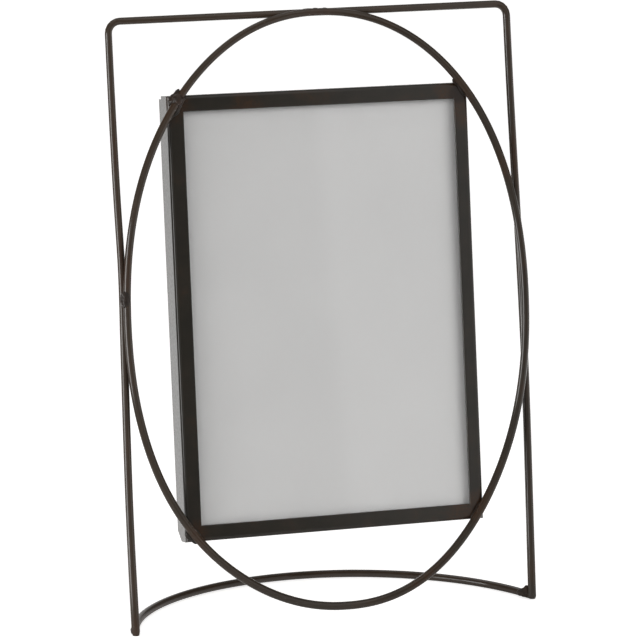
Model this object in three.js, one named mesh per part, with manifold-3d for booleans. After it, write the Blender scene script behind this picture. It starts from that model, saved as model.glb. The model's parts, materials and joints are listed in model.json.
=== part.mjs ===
// Wire-stand picture frame for a 13 x 18 cm photo: a glazed box of folded steel angle, held by its corners
// behind an oval wire, on a leaning wire hoop with a rear foot arc.
// Millimetres, +Z up. The picture faces -Y and the frame leans back towards +Y.
import * as THREE from 'three';
import { mergeVertices } from 'three/addons/utils/BufferGeometryUtils.js';
import Module from 'manifold-3d';

const wasm = await Module();
wasm.setup();

// Wire stand
const WIRE_DIAMETER = 3.2;
const WIRE_SIDES = 12;
const LEAN_DEGREES = 7;
const LEG_SPACING = 180; // between the centre lines of the legs, at the floor
const LEG_TAPER = 1.6; // how much closer the legs stand at the top bar than at the floor
const HOOP_HEIGHT = 256.5; // floor to the centre line of the top bar, along the slope
const HOOP_BEND_RADIUS = 5; // centre line of the two top bends
const HOOP_BEND_STEPS = 8;
const OVAL_FLOOR_HEIGHT = 5.25; // floor to the lowest centre line of the oval, along the slope
const CORNER_OVERHANG = 3.7; // how far each corner of the box reaches past the oval, along its diagonal
const OVAL_STEPS = 96;
const FOOT_ARC_DEPTH = 69.8; // from the line between the legs to the centre line of the arc
const FOOT_ARC_STEPS = 40;

// Weld beads
const SEAM_BEAD_LENGTH = 11;
const SEAM_BEAD_WIDTH = 2.6;
const SEAM_BEAD_RISE = 0.8; // above the plane that touches both wires
const SIDE_WELD_RISE = 9; // above the middle of the oval
const CORNER_BEAD_LENGTH = 11;
const CORNER_BEAD_WIDTH = 5;
const CORNER_BEAD_HEIGHT = 2.4; // above the bezel face
const FOOT_BEAD_COLLAR = 1.4; // thickness round the end of the arc

// Glazing, photo and back
const PHOTO_WIDTH = 130;
const PHOTO_HEIGHT = 180;
const PHOTO_THICKNESS = 0.3;
const PHOTO_SIDE_PLAY = 1.1; // photo to each side wall
const PHOTO_END_PLAY = 2.45; // photo to the top and bottom walls
const GLASS_THICKNESS = 2;
const BOARD_THICKNESS = 3;
const THUMB_NOTCH_RADIUS = 8;

// Folded rails of the box
const BEZEL_WIDTH = 6.8;
const SHEET_THICKNESS = 1.2;
const FOLD_INSIDE_RADIUS = 0.4;
const FOLD_STEPS = 6;
const WALL_BEHIND_CLIPS = 3.2; // height of the walls above the turn clips
const CORNER_NOTCH = 1.3; // width of the open corners, as deep as the walls stand behind the clips

// Turn clips and rivets
const CLIP_SPACING = 76; // between the two pivots along one wall
const CLIP_PIVOT_INSET = 8; // pivot to the inside of the wall
const CLIP_WIDTH = 9;
const CLIP_THICKNESS = 1;
const CLIP_BITE = 1; // how far the tip reaches into the wall
const CLIP_TAIL = 9; // pivot to the start of the thumb lip
const CLIP_LIP_RUN = 2.4;
const CLIP_LIP_RISE = 2.6;
const RIVET_SHANK_DIAMETER = 3;
const RIVET_HEAD_DIAMETER = 6.4;
const RIVET_HEAD_HEIGHT = 1.2;
const RIVET_FOOT_DIAMETER = 4.8;
const RIVET_FOOT_THICKNESS = 0.5;
const ROUND_STEPS = 16; // round holes, rivets and beads

// Clearances
const WELD_GAP = 0.2; // between touching wires, beads and bezel
const MITRE_GAP = 0.2;
const SEAT_GAP = 0.25; // between stacked pieces of the box
const SLOT_GAP = 0.3; // clip tip to the ends of its slot

const LEAN = THREE.MathUtils.degToRad(LEAN_DEGREES);
const WIRE_RADIUS = WIRE_DIAMETER / 2;
const LEG_X = LEG_SPACING / 2;
const TOP_X = (LEG_SPACING - LEG_TAPER) / 2;

// Middle plane to the centre line of a leg, at a height up the slope
const legReach = (height) => LEG_X + (TOP_X - LEG_X) * (height / HOOP_HEIGHT);

// Depths along the frame normal, measured backwards from the centre plane of the hoop
const OVAL_PLANE = -(WIRE_DIAMETER + WELD_GAP);
const BEZEL_FACE = OVAL_PLANE + WIRE_RADIUS + WELD_GAP;
const GLASS_FRONT = BEZEL_FACE + SHEET_THICKNESS + SEAT_GAP;
const PHOTO_FRONT = GLASS_FRONT + GLASS_THICKNESS + SEAT_GAP;
const BOARD_FRONT = PHOTO_FRONT + PHOTO_THICKNESS + SEAT_GAP;
const BOARD_BACK = BOARD_FRONT + BOARD_THICKNESS;
const CLIP_FRONT = BOARD_BACK + SEAT_GAP;
const BOX_DEPTH = CLIP_FRONT + CLIP_THICKNESS + WALL_BEHIND_CLIPS - BEZEL_FACE;

// The pocket between the walls holds the photo with its play, and the panes stay clear of the folds
const POCKET_WIDTH = PHOTO_WIDTH + 2 * PHOTO_SIDE_PLAY;
const POCKET_HEIGHT = PHOTO_HEIGHT + 2 * PHOTO_END_PLAY;
const BOX_WIDTH = POCKET_WIDTH + 2 * SHEET_THICKNESS;
const BOX_HEIGHT = POCKET_HEIGHT + 2 * SHEET_THICKNESS;
const PANE_WIDTH = POCKET_WIDTH - 2 * FOLD_INSIDE_RADIUS;
const PANE_HEIGHT = POCKET_HEIGHT - 2 * FOLD_INSIDE_RADIUS;
const PIVOT_RISE = POCKET_HEIGHT / 2 - CLIP_PIVOT_INSET;
const CLIP_REACH = CLIP_PIVOT_INSET + CLIP_BITE;

// The oval touches the top bar and both legs, and the box sits at its middle
const OVAL_HALF_HEIGHT = (HOOP_HEIGHT - OVAL_FLOOR_HEIGHT) / 2;
const MIDDLE = OVAL_FLOOR_HEIGHT + OVAL_HALF_HEIGHT;
const OVAL_HALF_WIDTH = legReach(MIDDLE);

// Where the oval crosses the upper right corner of the box, measured from the middle
const CROSSING = new THREE.Vector2(BOX_WIDTH / 2, BOX_HEIGHT / 2);
CROSSING.setLength(CROSSING.length() - CORNER_OVERHANG);

// The superellipse exponent that takes the oval through the crossing, found by halving; 2 is an ellipse.
function squareness() {
  let low = 1;
  let high = 20;
  for (let round = 0; round < 50; round++) {
    const power = (low + high) / 2;
    const sum = (CROSSING.x / OVAL_HALF_WIDTH) ** power + (CROSSING.y / OVAL_HALF_HEIGHT) ** power;
    if (sum > 1) low = power;
    else high = power;
  }
  return low;
}
const OVAL_SQUARENESS = squareness();

const material = (color, roughness, metalness) =>
  new THREE.MeshStandardMaterial({ color, roughness, metalness });
const iron = () => material(0x32_2e_2a, 0.45, 0.8);
const weldMetal = () => material(0x46_3c_33, 0.6, 0.7);

// A named mesh with its own material.
function piece(name, geometry, look) {
  const mesh = new THREE.Mesh(geometry, look);
  mesh.name = name;
  return mesh;
}

// A closed geometry as a solid that can be joined and cut.
function solid(geometry) {
  const bare = new THREE.BufferGeometry();
  bare.setAttribute('position', geometry.getAttribute('position'));
  bare.setIndex(geometry.index);
  const merged = mergeVertices(bare, 1e-4);
  const mesh = new wasm.Mesh({
    numProp: 3,
    vertProperties: merged.getAttribute('position').array,
    triVerts: Uint32Array.from(merged.index.array),
  });
  return new wasm.Manifold(mesh);
}

function geometryOf(body) {
  const mesh = body.getMesh();
  const geometry = new THREE.BufferGeometry();
  geometry.setAttribute('position', new THREE.BufferAttribute(mesh.vertProperties, 3));
  geometry.setIndex(new THREE.BufferAttribute(mesh.triVerts, 1));
  geometry.computeVertexNormals();
  return geometry;
}

// The geometry with each tool cut away.
function cut(geometry, ...tools) {
  let body = solid(geometry);
  for (const tool of tools) body = body.subtract(solid(tool));
  return geometryOf(body);
}

const common = (first, second) => geometryOf(solid(first).intersect(solid(second)));

// Turns a geometry made upright in the frame plane back by the lean, about the floor line of the legs.
const leaned = (geometry) => geometry.rotateX(-LEAN);

const box = (width, depth, height, x, y, z) =>
  new THREE.BoxGeometry(width, depth, height).translate(x, y, z);

const cylinderAlongY = (radius, length, x, y, z) =>
  new THREE.CylinderGeometry(radius, radius, length, ROUND_STEPS).translate(x, y, z);

const ellipsoid = (halfX, halfY, halfZ) =>
  new THREE.SphereGeometry(1, ROUND_STEPS, ROUND_STEPS / 2).scale(halfX, halfY, halfZ);

// A chain of straight steps between points, one step of a sweep for each.
class Chain extends THREE.Curve {
  constructor(points) {
    super();
    this.points = points;
  }

  getPoint(t, target = new THREE.Vector3()) {
    const place = t * (this.points.length - 1);
    const index = Math.min(Math.floor(place), this.points.length - 2);
    return target.lerpVectors(this.points[index], this.points[index + 1], place - index);
  }

  getUtoTmapping(u) {
    return u;
  }
}

// A superellipse in the frame plane, at the depth of the oval wire.
class OvalCurve extends THREE.Curve {
  getPoint(t, target = new THREE.Vector3()) {
    const angle = t * 2 * Math.PI;
    const bent = (value) => Math.sign(value) * Math.abs(value) ** (2 / OVAL_SQUARENESS);
    const x = OVAL_HALF_WIDTH * bent(Math.sin(angle));
    const z = MIDDLE + OVAL_HALF_HEIGHT * bent(Math.cos(angle));
    return target.set(x, OVAL_PLANE, z);
  }
}

// The wire section, with flats square to the frame plane so that the foot arc lies on one.
function wireSection(radius) {
  const corner = radius / Math.cos(Math.PI / WIRE_SIDES);
  const points = [];
  for (let side = 0; side < WIRE_SIDES; side++) {
    const angle = ((side + 0.5) * 2 * Math.PI) / WIRE_SIDES;
    points.push(new THREE.Vector2(corner * Math.cos(angle), corner * Math.sin(angle)));
  }
  return new THREE.Shape(points);
}

function rod(points, radius) {
  return new THREE.ExtrudeGeometry(wireSection(radius), {
    extrudePath: new Chain(points),
    steps: points.length - 1,
    bevelEnabled: false,
  });
}

// The hoop runs up the left leg, over the top and down the right leg, from just below the floor.
function hoopRod(radius) {
  const below = -WIRE_DIAMETER;
  const points = [new THREE.Vector3(-legReach(below), 0, below)];
  for (const side of [-1, 1]) {
    const centre = new THREE.Vector2(side * (TOP_X - HOOP_BEND_RADIUS), HOOP_HEIGHT - HOOP_BEND_RADIUS);
    for (let step = 0; step <= HOOP_BEND_STEPS; step++) {
      const turn = (step / HOOP_BEND_STEPS) * (Math.PI / 2);
      const angle = side < 0 ? Math.PI - turn : Math.PI / 2 - turn;
      const x = centre.x + HOOP_BEND_RADIUS * Math.cos(angle);
      const z = centre.y + HOOP_BEND_RADIUS * Math.sin(angle);
      points.push(new THREE.Vector3(x, 0, z));
    }
  }
  points.push(new THREE.Vector3(legReach(below), 0, below));
  return leaned(rod(points, radius));
}

const ovalRing = (radius) =>
  leaned(new THREE.TubeGeometry(new OvalCurve(), OVAL_STEPS, radius, WIRE_SIDES, true));

// A circular arc on the floor, between the centre lines of the legs.
const ARC_START = WIRE_RADIUS * Math.tan(LEAN);
function footArcRod(radius) {
  const arcRadius = (LEG_X ** 2 + FOOT_ARC_DEPTH ** 2) / (2 * FOOT_ARC_DEPTH);
  const centreY = ARC_START + FOOT_ARC_DEPTH - arcRadius;
  const halfAngle = Math.atan2(LEG_X, ARC_START - centreY);
  const points = [];
  for (let step = 0; step <= FOOT_ARC_STEPS; step++) {
    const angle = halfAngle * ((2 * step) / FOOT_ARC_STEPS - 1);
    const x = arcRadius * Math.sin(angle);
    const y = centreY + arcRadius * Math.cos(angle);
    points.push(new THREE.Vector3(x, y, WIRE_RADIUS));
  }
  return rod(points, radius);
}

// The same wires grown by the weld gap, to trim what is welded to them.
const HOOP_TOOL = hoopRod(WIRE_RADIUS + WELD_GAP);
const OVAL_TOOL = ovalRing(WIRE_RADIUS + WELD_GAP);
const ARC_TOOL = footArcRod(WIRE_RADIUS + WELD_GAP);

// Everything below a height, under the whole stand.
function ground(height) {
  const size = 2 * (LEG_SPACING + FOOT_ARC_DEPTH);
  return box(size, size, size, 0, 0, height - size / 2);
}

// The legs are cut level at the floor, and the ends of the arc are coped to the backs of the legs.
function standPieces() {
  return [
    piece('outer_hoop', cut(hoopRod(WIRE_RADIUS), ground(0)), iron()),
    piece('oval_hoop', ovalRing(WIRE_RADIUS), iron()),
    piece('foot_arc', cut(footArcRod(WIRE_RADIUS), HOOP_TOOL), iron()),
  ];
}

// A bead in the groove where the oval touches the hoop, on the outside.
function seamBead(alongX, x, z) {
  const length = SEAM_BEAD_LENGTH / 2;
  const width = SEAM_BEAD_WIDTH / 2;
  const shape = alongX
    ? ellipsoid(length, width, SEAM_BEAD_RISE)
    : ellipsoid(SEAM_BEAD_RISE, width, length);
  const bead = leaned(shape.translate(x, OVAL_PLANE / 2, z));
  return cut(bead, HOOP_TOOL, OVAL_TOOL);
}

// A fillet on the bezel face along the inner side of the oval, where it crosses a corner of the box.
function cornerBead(sideX, sideZ) {
  const slope = OVAL_SQUARENESS - 1;
  const outward = new THREE.Vector2(
    (CROSSING.x / OVAL_HALF_WIDTH) ** slope / OVAL_HALF_WIDTH,
    (CROSSING.y / OVAL_HALF_HEIGHT) ** slope / OVAL_HALF_HEIGHT,
  ).normalize();
  const inset = CORNER_BEAD_WIDTH / 2;
  const x = sideX * (CROSSING.x - outward.x * inset);
  const z = sideZ * (CROSSING.y - outward.y * inset);
  const turn = Math.atan2(sideX * outward.x, sideZ * outward.y);
  const bead = ellipsoid(CORNER_BEAD_LENGTH / 2, CORNER_BEAD_HEIGHT, inset)
    .rotateY(turn)
    .translate(x, BEZEL_FACE, MIDDLE + z);
  const depth = 2 * CORNER_BEAD_HEIGHT;
  const behind = box(BOX_WIDTH, depth, BOX_HEIGHT, x, BEZEL_FACE - WELD_GAP + depth / 2, MIDDLE + z);
  return cut(leaned(bead), leaned(behind), OVAL_TOOL);
}

// A collar round the end of the foot arc, against the back of a leg.
function footBead(side) {
  const radius = WIRE_RADIUS + FOOT_BEAD_COLLAR;
  const bead = ellipsoid(radius, radius, radius);
  bead.translate(side * LEG_X, ARC_START + WIRE_RADIUS, WIRE_RADIUS);
  return cut(bead, HOOP_TOOL, ARC_TOOL, ground(WELD_GAP));
}

function weldPieces() {
  const top = HOOP_HEIGHT + WIRE_RADIUS;
  const sideZ = MIDDLE + SIDE_WELD_RISE;
  const out = legReach(sideZ) + WIRE_RADIUS;
  const pieces = [piece('weld_top', seamBead(true, 0, top), weldMetal())];
  for (const [name, side] of [['left', -1], ['right', 1]]) {
    pieces.push(
      piece(`weld_side_${name}`, seamBead(false, side * out, sideZ), weldMetal()),
      piece(`weld_foot_${name}`, footBead(side), weldMetal()),
      piece(`weld_corner_top_${name}`, cornerBead(side, 1), weldMetal()),
      piece(`weld_corner_bottom_${name}`, cornerBead(side, -1), weldMetal()),
    );
  }
  return pieces;
}

// The angle section: x runs inwards from the outside of the wall, y backwards from the bezel face.
function railSection() {
  const fold = FOLD_INSIDE_RADIUS + SHEET_THICKNESS;
  const shape = new THREE.Shape();
  shape.moveTo(fold, 0);
  shape.lineTo(BEZEL_WIDTH, 0);
  shape.lineTo(BEZEL_WIDTH, SHEET_THICKNESS);
  shape.lineTo(fold, SHEET_THICKNESS);
  shape.absarc(fold, fold, FOLD_INSIDE_RADIUS, -Math.PI / 2, -Math.PI, true);
  shape.lineTo(SHEET_THICKNESS, BOX_DEPTH);
  shape.lineTo(0, BOX_DEPTH);
  shape.lineTo(0, fold);
  shape.absarc(fold, fold, fold, Math.PI, 1.5 * Math.PI, false);
  return shape;
}

// A rail along local Z with its wall at x = 0, both ends mitred at 45 degrees.
function railGeometry(length) {
  const geometry = new THREE.ExtrudeGeometry(railSection(), {
    depth: length,
    steps: 1,
    curveSegments: FOLD_STEPS,
    bevelEnabled: false,
  });
  const position = geometry.getAttribute('position');
  for (let index = 0; index < position.count; index++) {
    const setback = position.getX(index) + MITRE_GAP / 2;
    const atEnd = position.getZ(index) > length / 2;
    const z = atEnd ? length / 2 - setback : setback - length / 2;
    position.setZ(index, z);
  }
  return geometry;
}

// Each rail is turned about the frame normal from the left wall to its own side of the box.
function rail(name, turn, length, halfSpan, cuts) {
  const geometry = railGeometry(length)
    .translate(-halfSpan, BEZEL_FACE, 0)
    .rotateY(turn)
    .translate(0, 0, MIDDLE);
  return piece(name, leaned(cut(geometry, ...cuts)), iron());
}

const CLIP_PLACES = [
  ['top_left', -1, 1],
  ['top_right', 1, 1],
  ['bottom_left', -1, -1],
  ['bottom_right', 1, -1],
];

// A slot in the wall that clears the tip of a clip at every angle.
function clipSlot(sideX, sideZ) {
  const length = 2 * Math.sqrt(CLIP_REACH ** 2 - CLIP_PIVOT_INSET ** 2) + 2 * SLOT_GAP;
  const depth = CLIP_THICKNESS + 2 * SEAT_GAP;
  const x = (sideX * CLIP_SPACING) / 2;
  const y = CLIP_FRONT + CLIP_THICKNESS / 2;
  const z = MIDDLE + (sideZ * (BOX_HEIGHT - SHEET_THICKNESS)) / 2;
  return box(length, depth, 3 * SHEET_THICKNESS, x, y, z);
}

// The open corner that the folded walls leave at the back of the box.
function cornerNotch(sideX, sideZ) {
  const size = 2 * CORNER_NOTCH;
  const x = (sideX * BOX_WIDTH) / 2;
  const z = MIDDLE + (sideZ * BOX_HEIGHT) / 2;
  return box(size, 2 * WALL_BEHIND_CLIPS, size, x, BEZEL_FACE + BOX_DEPTH, z);
}

function boxPieces() {
  const notches = CLIP_PLACES.map(([, sideX, sideZ]) => cornerNotch(sideX, sideZ));
  const topCuts = [...notches, clipSlot(-1, 1), clipSlot(1, 1)];
  const bottomCuts = [...notches, clipSlot(-1, -1), clipSlot(1, -1)];
  return [
    rail('rail_left', 0, BOX_HEIGHT, BOX_WIDTH / 2, notches),
    rail('rail_top', Math.PI / 2, BOX_WIDTH, BOX_HEIGHT / 2, topCuts),
    rail('rail_right', Math.PI, BOX_HEIGHT, BOX_WIDTH / 2, notches),
    rail('rail_bottom', -Math.PI / 2, BOX_WIDTH, BOX_HEIGHT / 2, bottomCuts),
  ];
}

// A flat sheet in the middle of the box, from its front face backwards.
const sheet = (width, thickness, height, front) =>
  box(width, thickness, height, 0, front + thickness / 2, MIDDLE);

// The board has a thumb notch in its lower edge and a stepped hole for each rivet.
function boardGeometry() {
  const notchZ = MIDDLE - PANE_HEIGHT / 2;
  const tools = [cylinderAlongY(THUMB_NOTCH_RADIUS, 3 * BOARD_THICKNESS, 0, BOARD_FRONT, notchZ)];
  const recess = RIVET_FOOT_THICKNESS + 2 * SEAT_GAP;
  for (const [, sideX, sideZ] of CLIP_PLACES) {
    const x = (sideX * CLIP_SPACING) / 2;
    const z = MIDDLE + sideZ * PIVOT_RISE;
    const shankRadius = RIVET_SHANK_DIAMETER / 2 + SEAT_GAP;
    const footRadius = RIVET_FOOT_DIAMETER / 2 + SEAT_GAP;
    tools.push(cylinderAlongY(shankRadius, 3 * BOARD_THICKNESS, x, BOARD_FRONT, z));
    tools.push(cylinderAlongY(footRadius, 2 * recess, x, BOARD_FRONT, z));
  }
  return leaned(cut(sheet(PANE_WIDTH, BOARD_THICKNESS, PANE_HEIGHT, BOARD_FRONT), ...tools));
}

function picturePieces() {
  const glass = sheet(PANE_WIDTH, GLASS_THICKNESS, PANE_HEIGHT, GLASS_FRONT);
  const photo = sheet(PHOTO_WIDTH, PHOTO_THICKNESS, PHOTO_HEIGHT, PHOTO_FRONT);
  const glassLook = material(0xdd_e2_e0, 0.05, 0);
  glassLook.transparent = true;
  glassLook.opacity = 0.2;
  return [
    piece('glass_pane', leaned(glass), glassLook),
    piece('photo_insert', leaned(photo), material(0xbc_ba_ba, 0.8, 0)),
    piece('backing_board', boardGeometry(), material(0x6b_4f_38, 0.85, 0)),
  ];
}

// A strip whose round tip is centred on the pivot at the origin and whose tail turns up as a thumb lip.
function clipGeometry() {
  const half = CLIP_WIDTH / 2;
  const end = CLIP_TAIL + CLIP_LIP_RUN;
  const profile = new THREE.Shape();
  profile.moveTo(CLIP_REACH, 0);
  profile.lineTo(CLIP_REACH, CLIP_THICKNESS);
  profile.lineTo(-CLIP_TAIL, CLIP_THICKNESS);
  profile.lineTo(-end, CLIP_THICKNESS + CLIP_LIP_RISE);
  profile.lineTo(-end - CLIP_THICKNESS, CLIP_LIP_RISE + CLIP_THICKNESS / 2);
  profile.lineTo(-CLIP_TAIL - CLIP_THICKNESS / 2, 0);
  const strip = new THREE.ExtrudeGeometry(profile, { depth: CLIP_WIDTH, bevelEnabled: false })
    .translate(0, 0, -half)
    .rotateY(-Math.PI / 2);
  const shoulder = Math.asin(half / CLIP_REACH);
  const outline = new THREE.Shape();
  outline.moveTo(half, -2 * end);
  outline.absarc(0, 0, CLIP_REACH, Math.PI / 2 - shoulder, Math.PI / 2 + shoulder, false);
  outline.lineTo(-half, -2 * end);
  const plan = new THREE.ExtrudeGeometry(outline, { depth: 4 * end, bevelEnabled: false })
    .rotateX(Math.PI / 2)
    .translate(0, 2 * end, 0);
  const bore = cylinderAlongY(RIVET_SHANK_DIAMETER / 2 + SEAT_GAP, 4 * CLIP_THICKNESS, 0, 0, 0);
  return cut(common(strip, plan), bore);
}

// A domed rivet along local Y, with its foot sunk in the front of the board.
function rivetGeometry() {
  const foot = BOARD_FRONT + SEAT_GAP - CLIP_FRONT;
  const footBack = foot + RIVET_FOOT_THICKNESS;
  const seat = CLIP_THICKNESS + SEAT_GAP;
  const shank = RIVET_SHANK_DIAMETER / 2;
  const head = RIVET_HEAD_DIAMETER / 2;
  const profile = [
    new THREE.Vector2(0, foot),
    new THREE.Vector2(RIVET_FOOT_DIAMETER / 2, foot),
    new THREE.Vector2(RIVET_FOOT_DIAMETER / 2, footBack),
    new THREE.Vector2(shank, footBack),
    new THREE.Vector2(shank, seat),
  ];
  const domeSteps = 5;
  for (let step = 0; step <= domeSteps; step++) {
    const angle = (step / domeSteps) * (Math.PI / 2);
    const radius = step === domeSteps ? 0 : head * Math.cos(angle);
    profile.push(new THREE.Vector2(radius, seat + RIVET_HEAD_HEIGHT * Math.sin(angle)));
  }
  return new THREE.LatheGeometry(profile, ROUND_STEPS);
}

function clipPieces() {
  const pieces = [];
  for (const [name, sideX, sideZ] of CLIP_PLACES) {
    const turn = sideZ > 0 ? 0 : Math.PI;
    const place = [(sideX * CLIP_SPACING) / 2, CLIP_FRONT, MIDDLE + sideZ * PIVOT_RISE];
    const clip = clipGeometry().rotateY(turn).translate(...place);
    const rivet = rivetGeometry().translate(...place);
    pieces.push(
      piece(`clip_${name}`, leaned(clip), material(0x8c_8a_86, 0.4, 0.9)),
      piece(`rivet_${name}`, leaned(rivet), material(0x9a_98_94, 0.35, 0.9)),
    );
  }
  return pieces;
}

const pictureFrame = new THREE.Group();
pictureFrame.add(...standPieces(), ...weldPieces(), ...boxPieces(), ...picturePieces(), ...clipPieces());

// The origin is the bottom centre of the whole frame.
const bounds = new THREE.Box3().setFromObject(pictureFrame);
const middleY = (bounds.min.y + bounds.max.y) / 2;
for (const mesh of pictureFrame.children) mesh.position.y = -middleY;

export default pictureFrame;
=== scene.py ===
"""Looks of a leaning wire-stand photo frame: hand-bent wire, a folded box with glass, a clipped board.

Metres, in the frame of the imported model: +Z up, the picture faces -Y and leans back towards +Y.
"""

import json
import math

import bmesh
import bpy
from mathutils import Matrix, Vector, noise


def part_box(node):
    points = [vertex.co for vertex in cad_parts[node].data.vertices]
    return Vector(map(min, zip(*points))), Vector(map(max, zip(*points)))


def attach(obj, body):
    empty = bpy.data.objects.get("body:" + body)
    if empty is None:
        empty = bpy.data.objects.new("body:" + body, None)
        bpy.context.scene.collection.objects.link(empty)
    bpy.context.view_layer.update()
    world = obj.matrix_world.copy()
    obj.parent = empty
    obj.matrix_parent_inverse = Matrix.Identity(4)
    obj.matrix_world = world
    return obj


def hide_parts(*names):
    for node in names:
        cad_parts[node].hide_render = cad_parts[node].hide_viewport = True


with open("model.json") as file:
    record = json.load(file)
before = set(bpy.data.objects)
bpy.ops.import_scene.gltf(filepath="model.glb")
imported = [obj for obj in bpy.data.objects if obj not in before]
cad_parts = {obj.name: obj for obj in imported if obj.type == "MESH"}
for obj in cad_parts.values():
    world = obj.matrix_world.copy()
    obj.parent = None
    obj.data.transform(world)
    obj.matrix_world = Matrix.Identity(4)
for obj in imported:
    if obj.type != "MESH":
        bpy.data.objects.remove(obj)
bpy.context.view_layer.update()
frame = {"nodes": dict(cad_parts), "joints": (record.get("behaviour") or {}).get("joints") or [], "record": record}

MM = 0.001

# The leaning plane: across to the right, backwards through it, and up its slope from the legs' floor line
MOUNTS = {mount["name"]: Vector(mount["pos_m"]) for mount in frame["record"]["mounts"]}
PIVOTS = {joint["child"]: Vector(joint["pos_m"]) for joint in frame["joints"]}
ACROSS = Vector((1, 0, 0))
BACK = Vector(frame["joints"][0]["axis"]).normalized()
UP = ACROSS.cross(BACK)
FOOT_LINE = Vector((0, MOUNTS["left_foot"].y, 0))


def at(across, back, up):
    """The point of the model at a place in the leaning plane."""
    return FOOT_LINE + ACROSS * across + BACK * back + UP * up


def in_plane(point):
    """The place (across, back, up) of a point of the model."""
    offset = Vector(point) - FOOT_LINE
    return Vector((offset.dot(ACROSS), offset.dot(BACK), offset.dot(UP)))


def plane_box(node):
    """Lowest and highest place of a CAD node in the leaning plane."""
    places = [in_plane(vertex.co) for vertex in frame["nodes"][node].data.vertices]
    low = Vector(min(place[axis] for place in places) for axis in range(3))
    high = Vector(max(place[axis] for place in places) for axis in range(3))
    return low, high


# Wire stand, measured on the CAD nodes
HOOP_LOW, HOOP_HIGH = plane_box("outer_hoop")
OVAL_LOW, OVAL_HIGH = plane_box("oval_hoop")
WIRE_RADIUS = (HOOP_HIGH.y - HOOP_LOW.y) / 2
LEG_X = HOOP_HIGH.x - WIRE_RADIUS
LEG_TAPER = 1.6 * MM  # how much closer the legs stand at the top bar than at the floor
TOP_X = LEG_X - LEG_TAPER / 2
HOOP_TOP = HOOP_HIGH.z - WIRE_RADIUS
OVAL_DEPTH = (OVAL_LOW.y + OVAL_HIGH.y) / 2 + 0.1 * MM  # closed up against the hoop
OVAL_HALF_WIDTH = OVAL_HIGH.x - WIRE_RADIUS
OVAL_HALF_HEIGHT = (OVAL_HIGH.z - OVAL_LOW.z) / 2 - WIRE_RADIUS
MIDDLE = (OVAL_HIGH.z + OVAL_LOW.z) / 2
ARC_BACK_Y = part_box("foot_arc")[1].y - WIRE_RADIUS
HOOP_BEND_RADIUS = 5 * MM
CORNER_OVERHANG = 3.7 * MM  # how far the corners of the box reach past the oval
WIRE_SIDES = 28
WIRE_STEP = 1.6 * MM
WIRE_DENTS = 0.02  # share of the radius
WIRE_SHARES = (1.12, 0.965, 1.03)  # of the true radius at the floor, at the top left and at the top right
ARC_SHARE = 1.06

# How far the hand-bent wires stray to the right, or up
LEG_DRIFTS_LOW = {-1: -0.83 * MM, 1: -1.25 * MM}  # left and right leg at the floor
LEG_DRIFT_HIGH = -1.94 * MM  # at the top bar
LEG_BOWS = {-1: (0.31, -0.28, -0.26), 1: (1.23, 0.27, -0.16)}  # millimetres: all of a leg, halves, thirds
SEAM_PULL = (152 * MM, 22 * MM, 0.42 * MM)  # where, how far along and how much the left leg bends to the oval
RIGHT_FOOT_LIFT = 0.6 * MM
BAR_LIFTS = (-0.08 * MM, 0.76 * MM)  # left and right end of the top bar
OVAL_DRIFT = -0.09 * MM  # at half height
OVAL_BEND = 1.7 * MM  # further at its top and bottom
OVAL_LIFT = 0.34 * MM
OVAL_WAVES = (  # out of round: times round, height in millimetres, degrees from the top
    (0, -0.17, 0), (2, 0.14, 62), (3, 0.12, -167), (4, 0.44, -53), (5, 0.2, 112), (6, 0.23, -52),
)
ARC_STRAYS = (-0.2, 1.92, -0.92, -1.18, 1.78)  # millimetres back, for each power of the way to a leg

# Picture box, measured on the CAD nodes
RAIL_LOW, RAIL_HIGH = plane_box("rail_left")
BOX_HALF_WIDTH = -RAIL_LOW.x
BOX_HALF_HEIGHT = plane_box("rail_top")[1].z - MIDDLE
BEZEL_FACE = RAIL_LOW.y
BOX_DEPTH = RAIL_HIGH.y - RAIL_LOW.y
BEZEL_WIDTH = RAIL_HIGH.x - RAIL_LOW.x
BEZEL_STRAYS = {"left": 0.2 * MM, "top": 0.0, "right": -0.6 * MM, "bottom": 0.0}  # uneven folding
SHEET_THICKNESS = 1.2 * MM
FOLD_RADIUS = 1.6 * MM  # outside of the fold
EDGE_ROUND = 0.35 * MM
FLAT_SUPPORT = 0.1 * MM  # keeps the shading of the flats flat beside their round edges
FOLD_STEPS = 10
RAIL_STEPS = 80
SHEET_WAVE = 0.05 * MM
CORNER_NOTCH = 1.3 * MM  # open corner at the back of the walls
CORNER_NOTCH_DEPTH = 3.2 * MM
CORNER_SLANT = 4.5 * MM  # height and depth of the slanting cut at the lower back corners
CORNER_SLANT_DEPTH = 5.0 * MM

# Where the oval crosses the upper right corner of the box, measured from the middle
CROSSING = Vector((BOX_HALF_WIDTH, BOX_HALF_HEIGHT))
CROSSING -= CROSSING.normalized() * CORNER_OVERHANG

# Browned patina, and painted shade in the gaps at the right corners, in millimetres: across, back and up of its
# middle, reach, strength
BROWN_AND_GAP_SHADE_MARKS = (
    (-64, -2, 222, 7, 0.5), (64, -2, 222, 7, 0.5), (-64, -2, 40, 6, 0.35), (64, -2, 41, 9, 0.5),  # corners
    # The burnt dark marks paint near-black shade into the gap beside the oval at the right corners, partly burnt
    # patina
    (62.5, -1, 219.5, 6, 1.0), (63.5, -1, 41.5, 3, 1.0), (66.5, -1, 47, 2.5, 1.0),  # burnt dark
    (0, -1, 257, 8, 0.45), (-90, 0, 142, 7, 0.45), (90, 0, 142, 7, 0.45),  # oval to hoop
    (-90, 0, 4, 7, 0.5), (90, 0, 4, 8, 0.2),  # feet
    (-87, -3, 158, 6, 0.5), (-89, -3, 149, 6, 0.5), (-91.5, 0, 206, 11, 0.42), (-91, 0, 160, 6, 0.45),
    (88, 0, 190, 13, 0.48), (41, -3, 17, 10, 0.5), (57, -1, 40, 6, 0.42), (-33, -1, 223, 8, 0.5),
    (64, -1, 213, 5, 0.4),
)

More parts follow.
